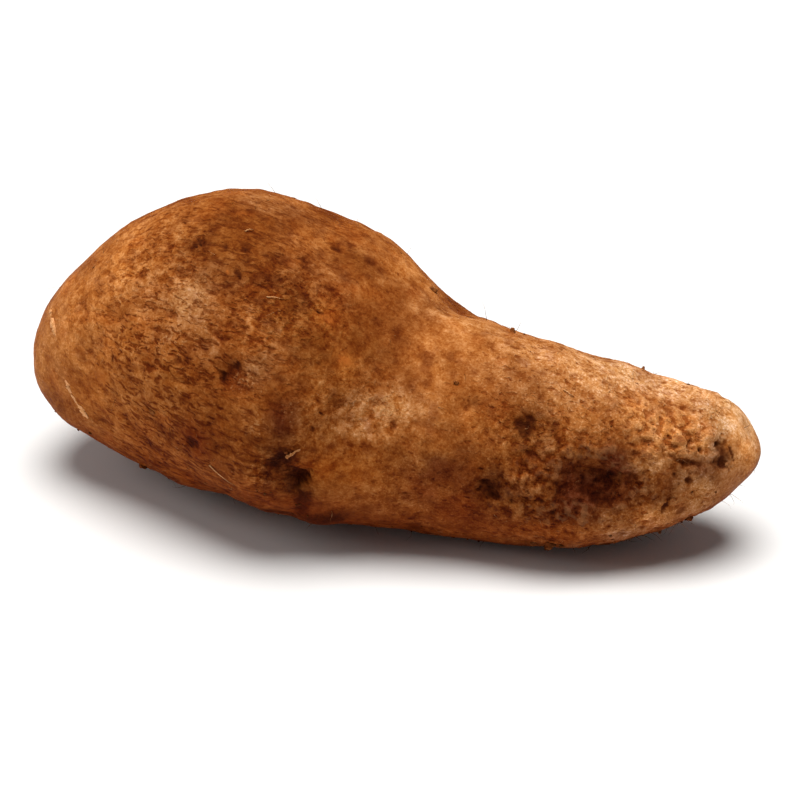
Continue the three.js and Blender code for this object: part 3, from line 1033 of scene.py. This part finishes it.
def rootParts():
    parts = []
    density = (0.5 + 0.9 * tailness) * (0.7 + 0.8 * facingDown(-0.4, 0.8)) * (1 - 0.6 * bareEnd)
    for row, column in scatter(roots["count"], density):
        turn = rng.uniform(0, 2 * math.pi)
        reach = rng.uniform(0.4, 1.8)
        lean = (reach * math.cos(turn), reach * math.sin(turn), 1)
        parts.append(hairRoot(row, column, rng.uniform(*roots["length"]), lean, rng.uniform(*roots["radius"]),
                              rng.uniform(0, 0.6)))
    for root in namedRoots:
        place = gridPlace(root["x"], root["around"])
        parts.append(hairRoot(*place, root["length"], root["lean"], roots["namedRadius"], 0.0))
    run = np.linspace(0, 1, roots["fibreSteps"])
    for fibre in fibres:
        seats = [onSkin(*place) for place in np.linspace(fibre["from"], fibre["to"], roots["fibreSteps"])]
        facing = unit(np.mean([out for _, out, _, _ in seats], axis=0))
        start, stop = seats[0][0], seats[-1][0]
        path = [start + (stop - start) * t + facing * mm * (0.15 + 0.5 * math.sin(math.pi * t))
                + rng.normal(0, 0.06, 3) * mm for t in run]
        radii = fibre["radius"] * mm * (1 - roots["fibreTaper"] * run)
        verts, faces = tube(path, radii, roots["fibreSides"], facing)
        parts.append((verts, faces, 1.0, perPoint(run, roots["fibreSides"])))
    return parts


stubs = {
    "count": 8, "length": (0.4, 1.0), "radius": (0.45, 0.8), "sides": 8,
    "tone": (86, 44, 18), "otherTone": (86, 44, 18), "endTone": (186, 126, 78), "skinShare": 0.4,
    "mottle": 1.0, "roughness": 0.85,
    # from foot to end: height in lengths, width in radii, and how much of the end's tone it has
    "profile": [(-0.5, 1.9, 0), (0.0, 1.45, 0), (0.25, 1.1, 0.1), (0.6, 0.95, 0.3), (0.9, 0.9, 0.55),
                (1.05, 0.62, 0.7)],
    # the pale broken root against the fold: where its two pieces start and stop along it, and their radii
    "pale": {"foot": (-13, 182), "end": (-8, 175),
             "pieces": [(0.0, 0.42, (0.7, 0.62, 0.4, 0.5, 0.34)), (0.34, 1.0, (0.3, 0.34, 0.24, 0.3, 0.2))]},
}
namedStubs = [
    {"x": 11.5, "around": 69, "length": 1.6, "radius": 0.8},
    {"x": 41, "around": 72, "length": 1.3, "radius": 0.8},
    {"x": 66, "around": 226, "length": 1.5, "radius": 1.3},
    {"x": 61, "around": 225, "length": 0.9, "radius": 1.0},
    {"x": 108, "around": 230, "length": 1.2, "radius": 0.9},
    {"x": -77, "around": 223, "length": 1.0, "radius": 1.0},
]


def stubParts():
    parts = []
    sides = stubs["sides"]
    chosen = [(*gridPlace(stub["x"], stub["around"]), stub["length"], stub["radius"]) for stub in namedStubs]
    for row, column in scatter(stubs["count"], (0.15 + tailness) * (1 - bareEnd) * (1 - cap)):
        chosen.append((row, column, rng.uniform(*stubs["length"]), rng.uniform(*stubs["radius"])))
    heights, widths, ends = np.array(stubs["profile"]).T
    for row, column, length, radius in chosen:
        base, out, along, around = seat(row, column)
        heading = unit(out + 0.6 * along * rng.normal() + 0.5 * around * rng.normal())
        path = [base + heading * height * length * mm for height in heights]
        verts, faces = tube(path, widths * radius * mm, sides, unit(along + 0.01))
        verts = verts + rng.normal(0, 0.09, verts.shape) * radius * mm
        parts.append((verts, faces, rng.uniform(0, 1), perPoint(ends, sides)))
    foot, out, _, _ = onSkin(*stubs["pale"]["foot"])
    end = onSkin(*stubs["pale"]["end"])[0]
    for first, last, radii in stubs["pale"]["pieces"]:
        run = np.linspace(first, last, len(radii))[:, None]
        path = foot * (1 - run) + end * run + out * mm * (0.2 + 1.4 * run)
        path = path + rng.normal(0, 0.16, path.shape) * mm
        verts, faces = tube(path, mm * np.array(radii), sides, out)
        verts = verts + rng.normal(0, 0.07, verts.shape) * mm
        parts.append((verts, faces, 1.0, np.ones(len(verts))))
    return parts


scurf = {
    "count": 90, "radius": (0.4, 1.0), "curl": (0.05, 0.3), "thickness": 0.14, "lift": 0.12, "corners": 10,
    "sliverSteps": 14, "sliverSides": 6, "sliverFlatness": 0.3,
    "tone": (112, 66, 38), "otherTone": (226, 162, 106), "endTone": tones["tan"], "skinShare": 0.8,
    "mottle": 0.9, "roughness": 0.6,
}
# pale slivers of skin film through the places given, with their half width in millimetres; their pale tone is
# partly painted highlight, glints of light on the waxy head end
glintSlivers = [
    {"through": [(-115.2, 132), (-113.6, 138)], "width": 0.9},
    {"through": [(-113.2, 140), (-111.3, 146), (-109.2, 154)], "width": 1.7},
    {"through": [(-103.8, 181), (-101.5, 189.5)], "width": 1.4},
    {"through": [(-101.6, 189), (-98.4, 196)], "width": 0.7},
    {"through": [(-98.8, 194.5), (-95.0, 200)], "width": 1.6},
    {"through": [(-108, 30), (-106.5, 38), (-103, 48)], "width": 0.5},
]
flaps = [{"x": 84, "around": 342, "radius": 2.0, "curl": 0.5, "tone": 0.1}]  # larger loose flakes


def flake(row, column, radius, curl):
    # a thin curled plate: a rim of corners on each side of a raised middle
    base, out, along, around = seat(row, column)
    corners = scurf["corners"]
    angle = np.arange(corners) * 2 * math.pi / corners
    reach = radius * mm * rng.uniform(0.65, 1.15, corners)
    stretch = rng.uniform(0.6, 1.0)
    rim = (np.cos(angle) * reach)[:, None] * along + (np.sin(angle) * reach * stretch)[:, None] * around
    raised = rng.uniform(0.0, 0.9, corners)[:, None] * curl * mm * out
    top = base + out * scurf["lift"] * mm + rim + raised
    middle = base + out * (0.16 + 0.25 * curl) * mm + rim * 0.5 + raised * 0.2
    under = top - out * scurf["thickness"] * mm * 0.6
    crown, foot = base + out * (0.2 + 0.2 * curl) * mm, base - out * 0.1 * mm
    verts = np.concatenate([top, middle, under, [crown], [foot]])
    inner, below, peak = corners, 2 * corners, 3 * corners
    faces = []
    for j in range(corners):
        k = (j + 1) % corners
        faces += [(peak, inner + j, inner + k), (inner + j, j, k, inner + k), (j, below + j, below + k, k),
                  (below + j, peak + 1, below + k)]
    end = np.concatenate([np.ones(corners), np.full(corners, 0.3), np.ones(corners), [0, 0]])
    return verts, faces, end


def sliver(through, width):
    # a strip of film that follows the skin through its places
    run = np.linspace(0, 1, scurf["sliverSteps"])
    stops = np.linspace(0, 1, len(through))
    places = [np.interp(run, stops, part) for part in zip(*through)]
    seats = [onSkin(*place) for place in zip(*places)]
    path = np.array([place for place, _, _, _ in seats])
    for _ in range(2):
        path[1:-1] = (path[:-2] + path[1:-1] + path[2:]) / 3
    facing = unit(np.mean([out for _, out, _, _ in seats], axis=0))
    path = path + facing * 0.03 * mm + rng.normal(0, 0.1, path.shape) * mm
    radii = width * mm * np.sin(math.pi * np.clip(run, 0.05, 0.95)) ** 0.6
    radii = radii * rng.uniform(0.5, 1.2, len(run))
    verts, faces = tube(path, radii, scurf["sliverSides"], facing, scurf["sliverFlatness"])
    return verts, faces, 1.0, np.full(len(verts), 0.3)


def scurfParts():
    parts = []
    for row, column in scatter(scurf["count"], 0.5 + 0.8 * tailness):
        verts, faces, end = flake(row, column, rng.uniform(*scurf["radius"]), rng.uniform(*scurf["curl"]))
        parts.append((verts, faces, rng.uniform(0.0, 0.45), end * 0.6))
    for flap in flaps:
        verts, faces, end = flake(*gridPlace(flap["x"], flap["around"]), flap["radius"], flap["curl"])
        parts.append((verts, faces, flap["tone"], end * 0.4))
    return parts + [sliver(**strip) for strip in glintSlivers]


crumbs = {
    "count": 90, "radius": (0.25, 0.6), "stretch": (0.7, 1.25), "lumpiness": 0.45, "lumpScale": 1.7,
    "standOff": 0.15,  # how far a crumb's middle stands above the skin, in its own radii
    "tone": (54, 27, 12), "otherTone": (92, 55, 28), "endTone": (54, 27, 12), "skinShare": 0.25,
    "mottle": 0.8, "roughness": 0.95,
}
namedCrumbs = [
    {"x": 65.5, "around": 229, "radius": 1.5},
    {"x": 71, "around": 222, "radius": 0.8},
    {"x": 67.5, "around": 223, "radius": 1.0},
]


def crumbParts():
    # rough lumps of soil, half sunk in the skin, most of them in hollows and underneath
    ball = bmesh.new()
    bmesh.ops.create_icosphere(ball, subdivisions=2, radius=1.0)
    sphere = np.array([vert.co for vert in ball.verts])
    faces = [tuple(vert.index for vert in face.verts) for face in ball.faces]
    ball.free()
    chosen = [(*gridPlace(crumb["x"], crumb["around"]), crumb["radius"]) for crumb in namedCrumbs]
    density = np.clip(hollow - 0.2, 0, 1) * (0.03 + tailness) + 0.25 * facingDown(0.0, 0.8)
    chosen += [(*place, rng.uniform(*crumbs["radius"])) for place in scatter(crumbs["count"], density)]
    parts = []
    for row, column, radius in chosen:
        base, out, along, around = seat(row, column)
        shift = rng.uniform(0, 90, 3)
        rough = [noise.noise(point) for point in sphere * crumbs["lumpScale"] + shift]
        rough = 1 + crumbs["lumpiness"] * np.array(rough)[:, None]
        shape = sphere * rough * rng.uniform(*crumbs["stretch"], 3) * radius * mm
        verts = base + out * crumbs["standOff"] * radius * mm + shape @ np.array([along, around, out])
        parts.append((verts, faces, rng.uniform(0, 1), np.zeros(len(verts))))
    return parts


# The skin's finish. GrainRoughness goes from its smoothest grain to its roughest, endGloss is how much
# smoother the bare head end and the growing tip are, dust is how much lies everywhere, and bump is in
# millimetres.
skinFinish = {
    "roughness": 0.85, "grainRoughness": (0.78, 0.95), "endGloss": 0.28, "specular": 0.05, "dust": 0.18,
    "bump": 0.26,
}
# What each effect leaves of the red, green and blue below it.
tints = {
    "fleck": (1.5, 1.95, 3.0),
    "dash": (0.49, 0.32, 0.17),
    "felt": (0.76, 0.62, 0.44),
    "crumb": (0.68, 0.50, 0.30),
    "dots": (0.60, 0.40, 0.22),
    # sunk is painted shade in the hollows
    "sunk": (0.46, 0.27, 0.12),
    "scar": (0.42, 0.28, 0.16),
}
# The sizes of the soft blotches, in metres.
blotchSize = {"patchy": 0.0065, "blotch": 0.0036, "small": 0.0022}
# Wavy marks: their length, width and wander in metres, and how much of the skin they cover.
wavy = {
    "dashes": {"Length": 0.0064, "Width": 0.0014, "Wander": 0.003, "Cover": 0.50},
    "worms": {"Length": 0.0044, "Width": 0.0017, "Wander": 0.0035, "Cover": 0.43},
    "felt": {"Length": 0.0017, "Width": 0.0011, "Wander": 0.003, "Cover": 0.43},
    "crumbs": {"Length": 0.0028, "Width": 0.0016, "Wander": 0.006, "Cover": 0.47},
}
# Pinholes: the space between them in metres, their size in spaces, and how many of the spaces have one.
pinholes = {
    "big": {"Spacing": 0.0045, "Size": 0.22, "Share": 0.4},
    "small": {"Spacing": 0.0021, "Size": 0.30, "Share": 0.7},
}


def skinMaterial():
    material, tree, shader = newMaterial("tuberSkin", skinFinish["roughness"], skinFinish["specular"])
    place = addNode(tree, "ShaderNodeTexCoord").outputs["Object"]
    sunk, hatched, freckled = (field(tree, name) for name in ("hollow", "hatch", "freckle"))
    crinkled, uneven = (field(tree, name) for name in ("crinkle", "uneven"))
    scarred, rusted, dusted = (field(tree, name) for name in ("scar", "rust", "dust"))

    def tinted(factor, below, name):
        return blend(tree, factor, below, (*tints[name], 1), "MULTIPLY")

    # the ground colour is on the skin's points; uneven lightness and loose dust go over it
    colour = field(tree, "ground", "Color")
    patchy = placeGroup(tree, mottle, Vector=place, Size=blotchSize["patchy"], Softness=0.18)["Factor"]
    small = placeGroup(tree, mottle, Vector=place, Size=blotchSize["small"], Softness=0.2)["Factor"]
    grain = noiseAt(tree, place, 1200, 2.0, 0.6)
    value = plus(tree, ramp(tree, patchy, 0, 1, 0.88, 1.10), ramp(tree, small, 0, 1, -0.13, 0.13))
    value = plus(tree, value, ramp(tree, grain, 0.3, 0.7, -0.13, 0.13))
    blotch = placeGroup(tree, mottle, Vector=place, Size=blotchSize["blotch"], Softness=0.12)["Factor"]
    blotch = times(tree, ramp(tree, blotch, 0, 1, -0.17, 0.17), uneven)
    speckle = times(tree, ramp(tree, small, 0, 1, -0.08, 0.08), uneven)
    value = plus(tree, value, plus(tree, blotch, speckle))
    colour = placeGroup(tree, shade, Color=colour, Value=value)["Color"]
    dusty = placeGroup(tree, dusting, Color=colour, Dust=linear(*tones["dust"]), Vector=place, Grain=0.0016,
                       Amount=plus(tree, dusted, skinFinish["dust"]))["Color"]
    colour = blend(tree, 0.5, colour, dusty)

    # pale grains, wavy dashes on the head, short felt everywhere, pinholes most on the body
    speck = noiseAt(tree, place, 1500, 3.0, 0.65)
    fleck = times(tree, ramp(tree, speck, 0.50, 0.66), ramp(tree, freckled, 0, 1, 0.35, 0.7))
    colour = tinted(times(tree, fleck, ramp(tree, scarred, 0.05, 0.45, 1.0, 0.25)), colour, "fleck")
    waves = {name: placeGroup(tree, streaks, Vector=place, **sizes)["Mask"] for name, sizes in wavy.items()}
    dash = calc(tree, "MAXIMUM", times(tree, waves["dashes"], 0.85), waves["worms"])
    dash = times(tree, dash, hatched)
    colour = tinted(dash, colour, "dash")
    felt = times(tree, waves["felt"], 0.75)
    colour = tinted(felt, colour, "felt")
    crumb = times(tree, waves["crumbs"], ramp(tree, freckled, 0, 1, 0.1, 0.8))
    colour = tinted(crumb, colour, "crumb")
    squat = vectorCalc(tree, "MULTIPLY", place, (0.6, 1, 1))
    bigDots = placeGroup(tree, pinDots, Vector=squat, **pinholes["big"])
    smallDots = placeGroup(tree, pinDots, Vector=squat, **pinholes["small"])
    dots = times(tree, calc(tree, "MAXIMUM", bigDots["Mask"], smallDots["Mask"]), 0.9)
    dots = times(tree, dots, ramp(tree, freckled, 0, 1, 0.35, 1.0))
    colour = tinted(dots, colour, "dots")

    # painted shade darkens the hollows, and a painted highlight lightens the tops of the crinkles
    colour = tinted(ramp(tree, sunk, 0.05, 0.9, 0.0, 0.75), colour, "sunk")
    ridgeHighlight = times(tree, ramp(tree, sunk, -0.1, -0.9, 0.0, 0.12), crinkled)
    ridgeHighlight = times(tree, ridgeHighlight, ramp(tree, scarred, 0.05, 0.35, 1.0, 0.0))
    colour = blend(tree, ridgeHighlight, colour, linear(*tones["straw"]))

    # orange grazes and dark scars, both broken up at their edges
    coarse = noiseAt(tree, place, 620, 3.0, 0.6)
    edge = times(tree, minus(tree, coarse, 0.5), 0.8)
    rust = ramp(tree, plus(tree, rusted, edge), 0.1, 0.9, 0.0, 0.75)
    colour = blend(tree, times(tree, rust, ramp(tree, rusted, 0.0, 0.4)), colour, linear(*tones["rust"]))
    scar = ramp(tree, plus(tree, scarred, edge), 0.1, 0.95)
    scar = times(tree, scar, ramp(tree, scarred, 0.0, 0.4))
    colour = tinted(scar, colour, "scar")
    colour = blend(tree, times(tree, scar, 0.35), colour, linear(*tones["scar"]))
    tree.links.new(colour, shader.inputs["Base Color"])

    gloss = calc(tree, "MAXIMUM", field(tree, "bareEnd"), field(tree, "cap"))
    rough = ramp(tree, grain, 0.3, 0.7, *skinFinish["grainRoughness"])
    tree.links.new(plus(tree, times(tree, gloss, -skinFinish["endGloss"]), rough), shader.inputs["Roughness"])

    # what stands out is above 0, and what is sunk below it
    height = times(tree, plus(tree, grain, speck), 0.45)
    for part, amount in ((dash, -0.8), (felt, -0.4), (dots, -0.9), (bigDots["Rim"], 0.2), (small, 0.35),
                         (blotch, 2.5), (crumb, -0.8), (times(tree, coarse, crinkled), 2.5)):
        height = plus(tree, height, times(tree, part, amount))
    addBump(tree, shader, height, 1.0, skinFinish["bump"])
    return material


def fineMaterial(name, look):
    # two tones by part, mottled, with a third at the part's end
    material, tree, shader = newMaterial(name, look["roughness"], 0.05)
    place = addNode(tree, "ShaderNodeTexCoord").outputs["Object"]
    patch = placeGroup(tree, mottle, Vector=place, Size=look["mottle"] * mm, Softness=0.2)["Factor"]
    grain = noiseAt(tree, place, 2200, 3.0, 0.6)
    tone = field(tree, "tone")
    mix = ramp(tree, plus(tree, tone, times(tree, minus(tree, patch, 0.5), 0.5)), 0.0, 1.0)
    colour = blend(tree, mix, linear(*look["tone"]), linear(*look["otherTone"]))
    share = ramp(tree, tone, 0.85, 0.95, look["skinShare"], 0.0)
    colour = blend(tree, share, colour, field(tree, "ground", "Color"))
    colour = blend(tree, ramp(tree, field(tree, "end"), 0.5, 1.0, 0.0, 0.8), colour, linear(*look["endTone"]))
    colour = placeGroup(tree, shade, Color=colour, Value=ramp(tree, grain, 0.3, 0.7, 0.8, 1.15))["Color"]
    tree.links.new(colour, shader.inputs["Base Color"])
    height = plus(tree, grain, times(tree, patch, 0.6))
    addBump(tree, shader, height, 0.8, 0.15)
    return material


addStudio()
tuberSkin = skinPiece()
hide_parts("tuber")
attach(tuberSkin, "root")
tuberSkin.data.materials.append(skinMaterial())
print("skin made:", len(tuberSkin.data.polygons), "faces")
gather("feederRoots", rootParts(), fineMaterial("rootFibre", roots))
gather("rootStubs", stubParts(), fineMaterial("stubBark", stubs))
gather("scurf", scurfParts(), fineMaterial("scurfFilm", scurf))
gather("soilCrumbs", crumbParts(), fineMaterial("soil", crumbs))
